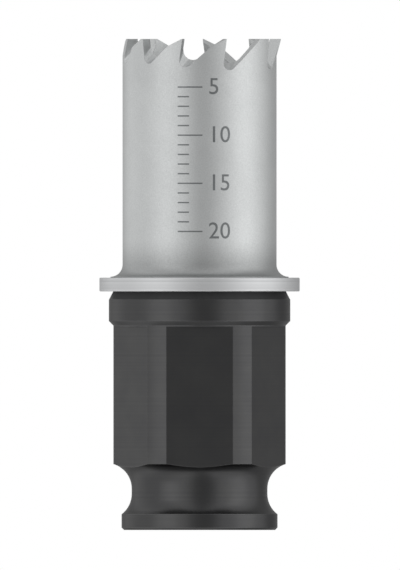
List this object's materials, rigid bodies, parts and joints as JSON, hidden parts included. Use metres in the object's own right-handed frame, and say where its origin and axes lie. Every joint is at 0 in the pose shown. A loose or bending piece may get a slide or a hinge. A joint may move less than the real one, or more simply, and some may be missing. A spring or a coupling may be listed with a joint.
{
  "type": "hole saw",
  "caption": "Small bi-metal hole saw: a thin toothed steel cup with a stop flange on a black hexagonal quick-change adapter, bored through for a pilot drill.",
  "frame": {"origin": "centre of the adapter's end face, which is also the bottom centre of the object's box", "axes": "+Z along the tool's axis from the adapter to the teeth; -Y is the side that faces the camera, with one flat of the hexagon square to it"},
  "size_m": [0.0208, 0.0208, 0.051],
  "materials": {
    "cup_steel": "fine blasted bare steel, satin",
    "turned_steel": "bare steel with fine turning lines",
    "black_oxide": "black-oxided steel, satin"
  },
  "bodies": {
    "root": {"saw_cup": "cup_steel", "base_flange": "turned_steel", "quick_change_adapter": "black_oxide"}
  },
  "joints": []
}
